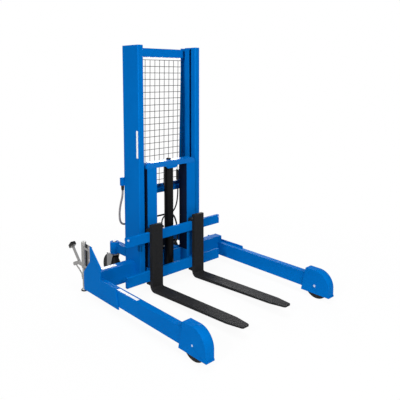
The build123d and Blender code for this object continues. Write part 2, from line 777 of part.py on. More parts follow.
def ram():
    """Telescopic lifting ram: barrel on a foot, sleeve stage and plunger under the crossbar."""
    half_foot = ram_plate_width / 2
    foot = block((-half_foot, half_foot), (ram_plate_front, beam_front), (beam_bottom, ram_bottom))
    barrel = rod_z(0, ram_y, (ram_bottom, ram_top - gland_collar_height), ram_radius)
    bore = rod_z(0, ram_y, (ram_bottom + ram_floor_gap, ram_top), ram_radius - ram_wall)
    half_port = ram_port_width / 2
    port_z = (ram_port_height - half_port, ram_port_height + half_port)
    port = block((-half_port, half_port), (ram_y, port_y + half_port), port_z)
    port = port + rod_x(port_y, ram_port_height, (0, hose_end[0]), gland_diameter / 2)
    barrel = barrel + port - bore
    gland = rod_z(0, ram_y, (ram_top - gland_height, ram_top), ram_radius - ram_wall)
    gland = gland + rod_z(0, ram_y, (ram_top - gland_collar_height, ram_top), gland_collar / 2)
    gland = gland - rod_z(0, ram_y, (ram_bottom, ram_top), sleeve_radius + running)
    sleeve_bottom = ram_bottom + ram_floor_gap + ram_stage_gap
    sleeve = rod_z(0, ram_y, (sleeve_bottom, ram_top + ram_stage_gap), sleeve_radius)
    head_bottom = ram_top - gland_collar_height
    sleeve = sleeve - rod_z(0, ram_y, (sleeve_bottom + ram_floor_gap, head_bottom), sleeve_radius - sleeve_wall)
    sleeve = sleeve - rod_z(0, ram_y, (sleeve_bottom + ram_floor_gap, carriage_top), plunger_radius + running)
    plunger_bottom = sleeve_bottom + ram_floor_gap + ram_stage_gap
    plunger = rod_z(0, ram_y, (plunger_bottom, crossbar_bottom), plunger_radius)
    stud_top = carriage_top + ram_nut_height + stud_end
    plunger = plunger + rod_z(0, ram_y, (plunger_bottom, stud_top), plunger_stud / 2)
    nut_plane = Pos(0, ram_y, carriage_top)
    nut = extrude(nut_plane * RegularPolygon(ram_nut / math.sqrt(3), 6), ram_nut_height)
    nut = nut - rod_z(0, ram_y, (carriage_top, carriage_top + ram_nut_height), plunger_stud / 2)
    return {
        "ram_foot": foot, "ram_barrel": barrel, "ram_gland": gland, "ram_sleeve": sleeve,
        "ram_plunger": group(plunger, nut),
    }


def power_unit():
    """Tank, valve block and motor, and the battery, on a shelf behind the mast."""
    shelf = block((shelf_left, shelf_right), (shelf_front, shelf_rear), (beam_top, shelf_top))
    tank = fillet(block(tank_x, tank_y, (shelf_top, tank_top)).edges().filter_by(Axis.Z), tank_corner)
    hollow_x = (tank_x[0] + tank_wall, tank_x[1] - tank_wall)
    hollow_y = (tank_y[0] + tank_wall, tank_y[1] - tank_wall)
    tank = tank - block(hollow_x, hollow_y, (shelf_top + tank_wall, tank_top))
    lid = block(tank_x, tank_y, (tank_top, tank_top + block_edge))
    lid = fillet(lid.edges().filter_by(Axis.Z), tank_corner)
    valve_block = lid + block(block_x, block_y, (tank_top, block_top))
    motor_top = block_top + motor_height
    motor = rod_z(motor_x, motor_y, (block_top, motor_top), motor_diameter / 2)
    cap = rod_z(motor_x, motor_y, (motor_top, motor_top + motor_cap), motor_diameter / 2 - motor_cap)
    boss_z = (tank_top + block_edge, block_top - block_edge)
    half_boss = hose_boss_width / 2
    boss_x = (hose_start[0] - half_boss, hose_start[0] + half_boss)
    hose_boss = block(boss_x, (hose_start[1] - half_boss, block_y[0]), boss_z)
    hose_riser = rod_z(hose_start[0], hose_start[1], (boss_z[0], hose_start[2]), gland_diameter / 2)
    cable_gland = rod_x(cable_end[1], cable_end[2], (block_x[1], cable_end[0]), gland_diameter / 2)
    lead_gland = rod_x(lead_end[1], lead_end[2], (lead_end[0], motor_x), gland_diameter / 2)
    battery_z = (shelf_top, shelf_top + battery_height)
    battery = fillet(block(battery_x, battery_y, battery_z).edges().filter_by(Axis.Z), battery_corner)
    return {
        "power_unit_shelf": shelf,
        "reservoir_tank": tank,
        "valve_block": valve_block + hose_boss + hose_riser + cable_gland,
        "pump_motor": motor + cap + lead_gland,
        "battery_box": battery,
    }


def controls():
    """Button box and junction box on the backs of the uprights."""
    box_y = (mast_depth, control_rear)
    box = block(control_x, box_y, control_z)
    box = fillet(box.edges().filter_by(Axis.Y) + box.faces().sort_by(Axis.Y)[-1].edges(), control_corner)
    centre_x = (control_x[0] + control_x[1]) / 2
    centre_z = (control_z[0] + control_z[1]) / 2
    buttons = {}
    for name, side in (("up_button", 1), ("down_button", -1)):
        z = centre_z + side * button_spacing / 2
        depth = button_height + button_travel
        box = box - rod_y(centre_x, z, (box_y[1] - depth, box_y[1]), button_diameter / 2 + button_gap)
        button = rod_y(centre_x, z, (box_y[1] - button_height, box_y[1] + button_height), button_diameter / 2)
        rim = button.edges().filter_by(GeomType.CIRCLE).sort_by(Axis.Y)[-1]
        buttons[name] = fillet(rim, button_edge)
    gland_z = (cable_start[2], control_z[0])
    box = box + rod_z(cable_start[0], cable_start[1], gland_z, control_gland_diameter / 2)
    junction = block(junction_x, (mast_depth, mast_depth + junction_depth), junction_z)
    junction = fillet(junction.edges().filter_by(Axis.Z), control_corner)
    lead_z = (lead_start[2], junction_z[0])
    junction = junction + rod_z(lead_start[0], lead_start[1], lead_z, gland_diameter / 2)
    return {"control_box": box, **buttons, "junction_box": junction}


def link_plate(start, end, width, x):
    """Flat bar with round ends between two pivots given as (y, z)."""
    along = Vector(end[0] - start[0], end[1] - start[1], 0)
    middle = ((start[0] + end[0]) / 2, (start[1] + end[1]) / 2)
    angle = math.degrees(math.atan2(along.Y, along.X))
    shape = Pos(*middle) * Rot(0, 0, angle) * SlotCenterToCenter(along.length, width)
    return extrude(Plane(origin=(x[0], 0, 0), x_dir=(0, 1, 0), z_dir=(1, 0, 0)) * shape, x[1] - x[0])


def floor_lock():
    """Step-down floor lock: plunger in a guide tube, bell crank pedal and push rod."""
    radius = lock_post_diameter / 2
    plate_x = (-leg_outer, -leg_outer + lock_plate_thickness)
    plate_end = fin_rear + lock_plate_reach
    body = block(plate_x, (beam_rear + lock_plate_gap, plate_end), lock_guide)
    body = body + rod_z(lock_x, lock_y, lock_guide, lock_guide_diameter / 2)
    web_x = (plate_x[0] + lock_web_inset, lock_x)
    for z in lock_webs:
        body = body + block(web_x, (plate_end - lock_plate_reach, lock_y), (z, z + lock_web_height))
    crank_x = (lock_x - lock_arm_thickness / 2, lock_x + lock_arm_thickness / 2)
    ear_x = (crank_x[0] - lock_side_gap - lock_arm_thickness, crank_x[0] - lock_side_gap)
    ear_start = (lock_y, lock_pivot[1])
    body = body + link_plate(ear_start, lock_pivot, lock_arm_width, ear_x)
    pin = rod_x(lock_pivot[0], lock_pivot[1], (ear_x[0], crank_x[1] + lock_pin_end), lock_pin_diameter / 2)
    body = body + pin
    body = body - rod_z(lock_x, lock_y, (0, lock_post_top), radius + running)
    pedal = link_plate(lock_pivot, lock_pad_end, lock_arm_width, crank_x)
    pedal = pedal + link_plate(lock_pivot, lock_crank_end, lock_arm_width, crank_x)
    rod_side = crank_x[1] + lock_side_gap
    crank_pin_end = rod_side + lock_arm_thickness + lock_pin_end
    crank_pin = rod_x(*lock_crank_end, (crank_x[0], crank_pin_end), lock_pin_diameter / 2)
    pedal = pedal + crank_pin - rod_x(*lock_pivot, crank_x, lock_pin_diameter / 2 + running)
    step = Vector(lock_pad_end[0] - lock_pivot[0], lock_pad_end[1] - lock_pivot[1], 0).normalized()
    tread_plane = Plane(origin=(lock_x, *lock_pad_end), x_dir=(1, 0, 0), z_dir=(0, step.X, step.Y))
    plate_shift = lock_arm_width / 2 - tread_sink
    tread_face = Rectangle(pad_width - 2 * pad_wall, pad_length - 2 * pad_wall)
    tread = extrude(tread_plane.offset(plate_shift) * tread_face, tread_thickness)
    pedal = pedal + tread
    pad_plane = tread_plane.offset(plate_shift)
    pad = extrude(pad_plane * RectangleRounded(pad_width, pad_length, pad_corner), tread_thickness + pad_thickness)
    pad_top = pad.faces().sort_by(Axis((0, 0, 0), (0, step.X, step.Y)))[-1]
    pad = fillet(pad_top.edges(), pad_edge) - pedal
    eye = (lock_y + lock_collar_reach, lock_collar_z)
    rod_x_span = (rod_side, rod_side + lock_arm_thickness)
    push = link_plate(lock_crank_end, eye, lock_rod_diameter, rod_x_span)
    for place in (lock_crank_end, eye):
        push = push + rod_x(*place, rod_x_span, lock_rod_diameter)
    push = push - rod_x(*lock_crank_end, rod_x_span, lock_pin_diameter / 2 + running)
    push = push - rod_x(*eye, rod_x_span, lock_pin_diameter / 2 + open_pivot)
    foot_top = lock_foot_bottom + lock_foot_height
    plunger = rod_z(lock_x, lock_y, (foot_top, lock_post_top), radius)
    collar_z = (lock_collar_z - lock_collar_height / 2, lock_collar_z + lock_collar_height / 2)
    plunger = plunger + rod_z(lock_x, lock_y, collar_z, radius + lock_collar_wall)
    ear_y = (lock_y, eye[0] + lock_pin_diameter)
    plunger = plunger + block((lock_x, rod_side - lock_side_gap / 2), ear_y, collar_z)
    plunger = plunger + rod_x(*eye, (lock_x, rod_x_span[1] + lock_pin_end), lock_pin_diameter / 2)
    cup = Pos(lock_x, lock_y, foot_top + lock_cup_height / 2) * Cone(lock_cup_diameter / 2, radius, lock_cup_height)
    plunger = plunger + cup
    foot = rod_z(lock_x, lock_y, (lock_foot_bottom, foot_top), lock_foot_diameter / 2)
    foot = fillet(foot.edges().filter_by(GeomType.CIRCLE), lock_foot_edge)
    return {
        "lock_bracket": body, "lock_plunger": plunger, "lock_foot": foot, "lock_pedal": pedal,
        "lock_pedal_pad": pad, "lock_rod": push,
    }


def route(start, start_way, middle, end, end_way):
    """Points of a hose that leaves both ends straight along its fittings."""
    leaving = tuple(Vector(*start) + Vector(*start_way) * hose_lead_out)
    arriving = tuple(Vector(*end) + Vector(*end_way) * hose_lead_out)
    return [start, leaving, *middle, arriving, end]


def hoses():
    """Pressure hose to the ram, cable of the buttons, and lead of the motor."""
    right = (1, 0, 0)
    up = (0, 0, 1)
    down = (0, 0, -1)
    left = (-1, 0, 0)
    pressure = route(hose_start, up, hose_middle, hose_end, right)
    signal = route(cable_start, down, control_cable_middle, cable_end, right)
    lead = route(lead_start, down, lead_middle, lead_end, left)
    return {
        "hydraulic_hose": flexible("hydraulic_hose", pressure, hose_diameter),
        "control_cable": flexible("control_cable", signal, control_cable_diameter),
        "power_lead": flexible("power_lead", lead, lead_diameter),
    }


right_fork = fork()
pieces = {
    **mast(), **mesh_guard(), **base(), **wheel_housings(), **load_wheels(), **casters(), **carriage(),
    **rollers(),
    "left_fork": mirrored(right_fork), "right_fork": right_fork,
    **ram(), **power_unit(), **controls(), **floor_lock(), **hoses(),
}
os.makedirs("parts", exist_ok=True)
for name, piece in pieces.items():
    export_step(Pos(0, origin_shift, 0) * piece, f"parts/{name}.step")
print(len(pieces), "nodes, origin shift", origin_shift)
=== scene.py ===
import json
import math

import bpy
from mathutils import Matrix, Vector


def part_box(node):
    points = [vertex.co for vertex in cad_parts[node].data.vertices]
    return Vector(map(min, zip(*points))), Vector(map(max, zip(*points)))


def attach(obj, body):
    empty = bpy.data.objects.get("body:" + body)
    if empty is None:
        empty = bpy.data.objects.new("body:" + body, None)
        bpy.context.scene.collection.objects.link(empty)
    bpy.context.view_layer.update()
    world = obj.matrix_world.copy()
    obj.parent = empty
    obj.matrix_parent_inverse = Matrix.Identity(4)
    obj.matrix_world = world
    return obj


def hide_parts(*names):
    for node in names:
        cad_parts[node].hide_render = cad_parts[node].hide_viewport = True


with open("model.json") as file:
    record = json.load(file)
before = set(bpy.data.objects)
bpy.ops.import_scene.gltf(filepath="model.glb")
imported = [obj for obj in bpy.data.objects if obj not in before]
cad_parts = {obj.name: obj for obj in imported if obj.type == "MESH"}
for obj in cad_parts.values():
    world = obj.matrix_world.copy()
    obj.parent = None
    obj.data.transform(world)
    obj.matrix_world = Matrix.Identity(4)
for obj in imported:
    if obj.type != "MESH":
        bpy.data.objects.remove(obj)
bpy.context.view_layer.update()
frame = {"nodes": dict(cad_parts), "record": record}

scene = bpy.context.scene

# Millimetres in a metre
MM = 1000
X = Vector((1, 0, 0))
Y = Vector((0, 1, 0))
Z = Vector((0, 0, 1))
# Two directions in a face that looks left, to the front or up
LEFT_FACE = (-Y, Z)
FRONT_FACE = (X, Z)
TOP_FACE = (X, Y)
SIDES = (("left", -1), ("right", 1))
MAST_FRONT = 296.25


def place(x, y, z):
    """Point in metres from millimetres measured from the mast's front face."""
    return Vector((x / MM, (y + MAST_FRONT) / MM, z / MM))


# Materials: the noise keeps mostly between these two values
NOISE_LOW = 0.3
NOISE_HIGH = 0.7


class Shader:
    """A Principled material with its texture nodes."""

    def __init__(self, name):
        self.material = bpy.data.materials.new(name)
        self.material.use_nodes = True
        self.tree = self.material.node_tree
        self.surface = self.tree.nodes["Principled BSDF"]
        self.coords = self.tree.nodes.new("ShaderNodeTexCoord").outputs["Object"]

    def link(self, start, end):
        self.tree.links.new(start, end)

    def stretched(self, scale):
        """Object coordinates drawn out along the axes."""
        mapping = self.tree.nodes.new("ShaderNodeMapping")
        mapping.inputs["Scale"].default_value = scale
        self.link(self.coords, mapping.inputs["Vector"])
        return mapping.outputs["Vector"]

    def noise(self, scale, detail=3.0, vector=None, roughness=0.55):
        node = self.tree.nodes.new("ShaderNodeTexNoise")
        node.inputs["Scale"].default_value = scale
        node.inputs["Detail"].default_value = detail
        node.inputs["Roughness"].default_value = roughness
        self.link(vector or self.coords, node.inputs["Vector"])
        return node.outputs["Fac"]

    def colour(self, source, stops):
        """Base colour from a ramp of (position, colour) stops."""
        node = self.tree.nodes.new("ShaderNodeValToRGB")
        elements = node.color_ramp.elements
        while len(elements) < len(stops):
            elements.new(0.5)
        for element, (position, colour) in zip(elements, stops):
            element.position = position
            element.color = (*colour, 1.0)
        self.link(source, node.inputs["Fac"])
        self.link(node.outputs["Color"], self.surface.inputs["Base Color"])

    def tones(self, source, dark, light, low=NOISE_LOW, high=NOISE_HIGH):
        """Base colour that goes from dark to light as the source rises."""
        self.colour(source, [(low, dark), (high, light)])

    def roughness(self, source, low, high):
        node = self.tree.nodes.new("ShaderNodeMapRange")
        node.inputs["From Min"].default_value = NOISE_LOW
        node.inputs["From Max"].default_value = NOISE_HIGH
        node.inputs["To Min"].default_value = low
        node.inputs["To Max"].default_value = high
        self.link(source, node.inputs["Value"])
        self.link(node.outputs["Result"], self.surface.inputs["Roughness"])

    def bump(self, source, strength, distance):
        node = self.tree.nodes.new("ShaderNodeBump")
        node.inputs["Strength"].default_value = strength
        node.inputs["Distance"].default_value = distance
        self.link(source, node.inputs["Height"])
        self.link(node.outputs["Normal"], self.surface.inputs["Normal"])

    def set(self, **values):
        for key, value in values.items():
            self.surface.inputs[key.replace("_", " ")].default_value = value


def enamel(name, dark, light, gloss, specular):
    """Sprayed paint: slight cloudiness, orange peel and uneven gloss."""
    shader = Shader(name)
    shader.tones(shader.noise(scale=4.0), dark, light)
    shader.roughness(shader.noise(scale=11.0), low=gloss - 0.03, high=gloss + 0.05)
    shader.bump(shader.noise(scale=160.0, detail=1.0), strength=0.004, distance=0.0005)
    shader.set(Specular_IOR_Level=specular)
    return shader.material


def fork_steel(name):
    """Black forged steel, rubbed paler along the blades."""
    shader = Shader(name)
    along_blade = shader.stretched((14.0, 1.2, 6.0))
    scratches = shader.noise(scale=9.0, detail=8.0, vector=along_blade, roughness=0.7)
    scale_black = (0.012, 0.0124, 0.0132)
    worn_black = (0.018, 0.018, 0.0184)
    rubbed_grey = (0.034, 0.033, 0.032)
    shader.colour(scratches, [(0.32, scale_black), (0.6, worn_black), (0.82, rubbed_grey)])
    shader.roughness(scratches, low=0.45, high=0.62)
    shader.bump(shader.noise(scale=120.0, detail=4.0), strength=0.12, distance=0.0006)
    shader.set(Specular_IOR_Level=0.03)
    return shader.material


def metal(name, dark, light, rough, stretch):
    """Bare or plated steel with the lines of its turning or rolling."""
    shader = Shader(name)
    lines = shader.noise(scale=120.0, detail=6.0, vector=shader.stretched(stretch), roughness=0.7)
    shader.tones(lines, dark, light)
    shader.roughness(lines, low=rough - 0.08, high=rough + 0.12)
    shader.bump(lines, strength=0.12, distance=0.0003)
    shader.set(Metallic=0.9)
    return shader.material


def stop_bolt_finish(name, paint, plating):
    """Plated bolts on the upper bar; those on the lower bar are painted over with it."""
    shader = Shader(name)
    height = shader.tree.nodes.new("ShaderNodeSeparateXYZ")
    box = shader.tree.nodes.new("ShaderNodeTexCoord").outputs["Generated"]
    shader.link(box, height.inputs["Vector"])
    shader.tones(height.outputs["Z"], paint, plating, low=0.45, high=0.55)
    shader.link(height.outputs["Z"], shader.surface.inputs["Metallic"])
    shader.roughness(shader.noise(scale=90.0), low=0.3, high=0.42)
    shader.bump(shader.noise(scale=120.0, detail=6.0), strength=0.1, distance=0.0003)
    shader.set(Specular_IOR_Level=0.01)
    return shader.material


def rubber(name, dark, light, rough, grain):
    """Moulded rubber with a fine grain and some dust."""
    shader = Shader(name)
    shader.tones(shader.noise(scale=24.0, detail=6.0), dark, light, low=0.35, high=0.75)
    shader.roughness(shader.noise(scale=70.0), low=rough - 0.1, high=rough + 0.1)
    shader.bump(shader.noise(scale=grain, detail=4.0), strength=0.2, distance=0.0005)
    shader.set(Specular_IOR_Level=0.15)
    return shader.material


def plastic(name, dark, light, rough):
    """Moulded plastic with a spark-eroded grain."""
    shader = Shader(name)
    shader.tones(shader.noise(scale=8.0), dark, light)
    shader.roughness(shader.noise(scale=90.0), low=rough - 0.05, high=rough + 0.1)
    shader.bump(shader.noise(scale=1400.0, detail=2.0), strength=0.2, distance=0.0003)
    shader.set(Specular_IOR_Level=0.2)
    return shader.material


def sticker(name, dark, light):
    """Blank film label, a little uneven in tone and not quite flat."""
    shader = Shader(name)
    shader.tones(shader.noise(scale=30.0), dark, light)
    shader.roughness(shader.noise(scale=60.0), low=0.3, high=0.45)
    shader.bump(shader.noise(scale=50.0), strength=0.1, distance=0.0003)
    return shader.material


BLUE_TONES = ((0.0002, 0.122, 0.435), (0.0003, 0.136, 0.47))
# Painted shade: the blue paint darkened as if in shade
SHADED_TONES = ((0.0002, 0.064, 0.21), (0.0003, 0.072, 0.235))
LOCK_TONES = ((0.2, 0.195, 0.19), (0.36, 0.355, 0.345))
BLUE = enamel("blue_enamel", *BLUE_TONES, gloss=0.33, specular=0.006)
GLOSS_BLUE = enamel("gloss_blue_enamel", *BLUE_TONES, gloss=0.25, specular=0.08)
SHADED_BLUE = enamel("painted_shade_blue_enamel", *SHADED_TONES, gloss=0.45, specular=0.006)
# Painted shade: dark navy that stands for blue paint in shade
SHADE_NAVY = enamel("painted_shade_strip", (0.003, 0.008, 0.026), (0.004, 0.0095, 0.03), gloss=0.5, specular=0.02)
BLACK = enamel("black_enamel", (0.003, 0.003, 0.0033), (0.006, 0.006, 0.0063), gloss=0.3, specular=0.06)
WIRE = enamel("dark_wire", (0.018, 0.018, 0.019), (0.035, 0.035, 0.036), gloss=0.45, specular=0.2)
FORK = fork_steel("fork_black")
STEEL = metal("bright_steel", (0.3, 0.3, 0.31), (0.55, 0.55, 0.55), rough=0.35, stretch=(1.0, 6.0, 6.0))
ZINC = metal("blue_zinc", (0.4, 0.52, 0.7), (0.6, 0.74, 0.92), rough=0.3, stretch=(3.0, 3.0, 3.0))
LOCK_STEEL = metal("lock_steel", *LOCK_TONES, rough=0.42, stretch=(8.0, 8.0, 0.6))
CASTER = metal("caster_zinc", (0.15, 0.15, 0.155), (0.27, 0.27, 0.27), rough=0.4, stretch=(2.0, 2.0, 1.0))
CHROME = metal("hard_chrome", (0.6, 0.6, 0.61), (0.75, 0.75, 0.76), rough=0.14, stretch=(4.0, 4.0, 0.4))
CAST = metal("cast_grey", (0.1, 0.1, 0.105), (0.22, 0.22, 0.225), rough=0.55, stretch=(3.0, 3.0, 3.0))
ALLOY = metal("machined_alloy", (0.5, 0.5, 0.5), (0.7, 0.7, 0.7), rough=0.3, stretch=(0.4, 8.0, 8.0))
STOP_BOLT = stop_bolt_finish("stop_bolt", paint=BLUE_TONES[0], plating=(0.5, 0.63, 0.81))
TYRE = rubber("black_tyre", (0.005, 0.005, 0.005), (0.016, 0.016, 0.0155), rough=0.6, grain=380.0)
RUBBER = rubber("black_rubber", (0.006, 0.006, 0.006), (0.014, 0.014, 0.0135), rough=0.5, grain=900.0)
GREY_SHEATH = rubber("grey_sheath", (0.16, 0.15, 0.158), (0.26, 0.245, 0.255), rough=0.4, grain=900.0)
PLASTIC = plastic("black_plastic", (0.006, 0.006, 0.0065), (0.012, 0.012, 0.0125), rough=0.4)
GREEN = plastic("green_plastic", (0.01, 0.12, 0.03), (0.015, 0.17, 0.045), rough=0.3)
RED = plastic("red_plastic", (0.25, 0.008, 0.008), (0.34, 0.012, 0.01), rough=0.3)
LABEL = sticker("blank_label", (0.82, 0.82, 0.83), (0.9, 0.9, 0.9))


# CAD pieces
MATERIAL_OF_SLOT = {
    "blue_paint": BLUE, "black_paint": BLACK, "bright_steel": STEEL, "zinc_wire": WIRE,
    "caster_steel": CASTER, "chrome_rod": CHROME, "cast_hub": CAST, "alloy_block": ALLOY,
    "black_tyre": TYRE, "black_rubber": RUBBER, "black_plastic": PLASTIC,
    "green_button": GREEN, "red_button": RED,
}
MATERIAL_OF_NODE = {
    # Roller brackets in black enamel: painted shade in the gaps between the uprights and the posts
    "left_fork": FORK, "right_fork": FORK, "roller_brackets": BLACK, "bar_stop_bolts": STOP_BOLT,
    "load_wheel_axles": ZINC, "carriage_crossbar": GLOSS_BLUE, "junction_box": BLUE,
    "lock_bracket": LOCK_STEEL, "lock_plunger": LOCK_STEEL, "lock_pedal": LOCK_STEEL, "lock_rod": LOCK_STEEL,
}
EDGE_OF_NODE = {
    "left_fork": 0.004, "right_fork": 0.004, "upper_fork_bar": 0.001, "lower_fork_bar": 0.001,
    "up_button": 0.0005, "down_button": 0.0005, "lock_rod": 0.001, "ram_gland": 0.001, "ram_sleeve": 0.001,
    "carriage_crossbar": 0.004, "control_box": 0.0004,
}
PLAIN_EDGE = 0.0015
MERGE_DISTANCE = 0.00001
SHARP_EDGE = math.radians(50)
REPLACED = ("hydraulic_hose", "control_cable", "power_lead", "mesh_guard")


def finish_node(name, material, width):
    """Material of a CAD piece, and a small round on its edges."""
    piece = frame["nodes"][name]
    piece.data.materials.clear()
    piece.data.materials.append(material)
    weld = piece.modifiers.new("join", "WELD")
    weld.merge_threshold = MERGE_DISTANCE
    bevel = piece.modifiers.new("edges", "BEVEL")
    bevel.width = width
    bevel.segments = 2
    bevel.limit_method = "ANGLE"
    bevel.angle_limit = SHARP_EDGE
    bevel.harden_normals = True


for part in frame["record"]["subparts"]:
    node = part["node"]
    if node not in REPLACED:
        node_material = MATERIAL_OF_NODE.get(node, MATERIAL_OF_SLOT[part["material_slot"]])
        finish_node(node, node_material, EDGE_OF_NODE.get(node, PLAIN_EDGE))


# Ways to make the added pieces, each with a finish of material, body and slot
CREASE = math.radians(40)
NEARLY_UPRIGHT = 0.9
CORNER_STEPS = 6
# Edge of a plate from its foot: height and inset, as shares of its thickness
PLATE_EDGE = ((0.0, 0.0), (0.6, 0.0), (1.0, 0.4))
# Rings of a wire: share of its radius, which end, and the inset from that end in radii
WIRE_ENDS = ((0.6, 0, 0.0), (1.0, 0, 0.4), (1.0, 1, -0.4), (0.6, 1, 0.0))
WIRE_SIDES = 12
# Weld bead: rings along it, ripples of the passes and slimmer tips
BEAD_SIDES = 8
BEAD_STEP = 0.0022
LEAST_BEAD_STEPS = 8
BEAD_RIPPLE = 0.1
RIPPLE_PACE = 2.1
BEAD_WAVE = 0.05
WAVE_PACE = 0.37
BEAD_TIP = 0.3
TIP_GROWTH = 6


def add_object(name, data):
    """New object in the scene."""
    piece = bpy.data.objects.new(name, data)
    scene.collection.objects.link(piece)
    return piece


def add_mesh(name, vertices, faces, finish):
    """New mesh piece that rides on a body."""
    material, body, slot = finish
    mesh = bpy.data.meshes.new(name)
    mesh.from_pydata([tuple(v) for v in vertices], [], faces)
    mesh.update()
    for polygon in mesh.polygons:
        polygon.use_smooth = True
    mesh.materials.append(material)
    piece = add_object(name, mesh)
    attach(piece, body)
    return piece


def add_creased(name, vertices, faces, finish):
    """Mesh piece whose corners stay crisp."""
    piece = add_mesh(name, vertices, faces, finish)
    crease = piece.modifiers.new("crease", "EDGE_SPLIT")
    crease.split_angle = CREASE


def frame_along(axis):
    """Two directions across an axis."""
    axis = axis.normalized()
    helper = Z if abs(axis.z) < NEARLY_UPRIGHT else X
    across = axis.cross(helper).normalized()
    return across, axis.cross(across).normalized()


def circle(centre, across, up, radius, sides):
    """Points around a centre, in the plane of two directions."""
    points = []
    for i in range(sides):
        angle = 2 * math.pi * i / sides
        points.append(centre + (across * math.cos(angle) + up * math.sin(angle)) * radius)
    return points


def tube_faces(first, rings, sides):
    """Faces between rings of points that start at the first one, with a cap on both ends."""
    faces = []
    for ring in range(rings - 1):
        low = first + ring * sides
        for i in range(sides):
            j = (i + 1) % sides
            faces.append((low + i, low + j, low + sides + j, low + sides + i))
    last = first + (rings - 1) * sides
    faces.append(tuple(reversed(range(first, first + sides))))
    faces.append(tuple(range(last, last + sides)))
    return faces


def lathe(name, base, axis, profile, finish, sides=32):
    """Turned piece: profile is (radius, height) in millimetres along the axis from the base."""
    across, up = frame_along(axis)
    axis = axis.normalized()
    vertices = []
    for radius, height in profile:
        vertices += circle(base + axis * (height / MM), across, up, radius / MM, sides)
    add_creased(name, vertices, tube_faces(0, len(profile), sides), finish)


def panel(name, centre, facing, size, finish, thickness, corner):
    """Rounded plate, in millimetres, that stands out of a face; facing is two directions in that face."""
    across, up = [direction.normalized() for direction in facing]
    out = across.cross(up)
    half_w = size[0] / 2 / MM
    half_h = size[1] / 2 / MM
    depth = thickness / MM
    r = corner / MM
    outline = []
    for sx, sy, start in ((1, 1, 0), (-1, 1, 90), (-1, -1, 180), (1, -1, 270)):
        for step in range(CORNER_STEPS + 1):
            angle = math.radians(start + 90 * step / CORNER_STEPS)
            x = sx * (half_w - r) + r * math.cos(angle)
            y = sy * (half_h - r) + r * math.sin(angle)
            outline.append(across * x + up * y)
    vertices = []
    for level, inset in PLATE_EDGE:
        shrink = 1 - inset * depth / max(half_w, half_h)
        vertices += [centre + point * shrink + out * (level * depth) for point in outline]
    add_creased(name, vertices, tube_faces(0, len(PLATE_EDGE), len(outline)), finish)


def weld_bead(name, start, end, radius, body):
    """Painted weld seam in a corner: a bead with the ripples of its passes."""
    axis = end - start
    across, up = frame_along(axis)
    steps = max(LEAST_BEAD_STEPS, int(axis.length / BEAD_STEP))
    vertices = []
    for ring in range(steps + 1):
        along = ring / steps
        ripple = 1 + BEAD_RIPPLE * math.sin(ring * RIPPLE_PACE) + BEAD_WAVE * math.sin(ring * WAVE_PACE)
        swell = min(1.0, TIP_GROWTH * along + BEAD_TIP, TIP_GROWTH * (1 - along) + BEAD_TIP)
        vertices += circle(start + axis * along, across, up, radius / MM * ripple * swell, BEAD_SIDES)
    add_mesh(name, vertices, tube_faces(0, steps + 1, BEAD_SIDES), (BLUE, body, "blue_paint"))


def wires(name, spots, along, length, radius, finish):
    """Straight round wires with rounded ends, each starting at a spot and running along one direction."""
    across, up = frame_along(along)
    vertices = []
    faces = []
    for spot in spots:
        faces += tube_faces(len(vertices), len(WIRE_ENDS), WIRE_SIDES)
        for share, end, inset in WIRE_ENDS:
            centre = spot + along * (end * length + inset * radius)
            vertices += circle(centre, across, up, radius * share, WIRE_SIDES)
    return add_mesh(name, vertices, faces, finish)


MAST_LABEL = (LABEL, "mast_base", "blue_paint")
MAST_SHADED_BLUE = (SHADED_BLUE, "mast_base", "blue_paint")
MAST_WIRE = (WIRE, "mast_base", "zinc_wire")
MAST_STEEL = (STEEL, "mast_base", "bright_steel")
MAST_PLASTIC = (PLASTIC, "mast_base", "black_plastic")
PAINTED_SCREW = (BLUE, "mast_base", "bright_steel")
# Dark navy strips on the posts: painted shade
POST_SHADE_STRIP = (SHADE_NAVY, "carriage", "black_plastic")

# Faces of the solids that carry added pieces
UPRIGHT_SIDE = 307
BEAM_TOP = 222
LEG_TOP = 172
POST_INNER = 153
POST_OUTER = 242

# Blank labels
FILM = 0.5
panel("label_upright", place(-UPRIGHT_SIDE, 22, 1139), LEFT_FACE, (21, 208), MAST_LABEL, FILM, corner=3.0)
panel("label_beam", place(-512, 121, BEAM_TOP), TOP_FACE, (124, 42), MAST_LABEL, FILM, corner=4.0)
panel("label_leg", place(-617, -285, LEG_TOP), TOP_FACE, (24, 234), MAST_LABEL, FILM, corner=3.0)

# Caps over the two slots by the left upright's front corner, in blue darkened as painted shade
CAP_PLATE = 1.0
panel("flange_cap", place(-295, 0, 340), FRONT_FACE, (16, 48), MAST_SHADED_BLUE, CAP_PLATE, corner=5.0)
panel("side_cap", place(-UPRIGHT_SIDE, 17, 340), LEFT_FACE, (28, 48), MAST_SHADED_BLUE, CAP_PLATE, corner=9.0)

# Welded mesh: upright wires in front of the level ones, and a little askew
NET_LOW, NET_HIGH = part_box("mesh_guard")
WIRE_RADIUS = 0.0023
CROSSING = 1.5 * WIRE_RADIUS
COLUMNS = 12
ROWS = 21
COLUMN_STEP = 0.0483
FIRST_COLUMN = -0.2614
ASKEW = Vector((0.0155, 0, 1)).normalized()
net_width = NET_HIGH[0] - NET_LOW[0]
net_height = NET_HIGH[2] - NET_LOW[2]
row_step = (net_height - 2 * WIRE_RADIUS) / (ROWS - 1)
level_y = NET_HIGH[1] - WIRE_RADIUS
upright_y = level_y - CROSSING
columns = [Vector((FIRST_COLUMN + i * COLUMN_STEP, upright_y, NET_LOW[2])) for i in range(COLUMNS)]
rows = [Vector((NET_LOW[0], level_y, NET_LOW[2] + WIRE_RADIUS + i * row_step)) for i in range(ROWS)]
upright_wires = wires("mesh_upright_wires", columns, ASKEW, net_height, WIRE_RADIUS, MAST_WIRE)
wires("mesh_level_wires", rows, X, net_width, WIRE_RADIUS, MAST_WIRE)
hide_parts("mesh_guard")
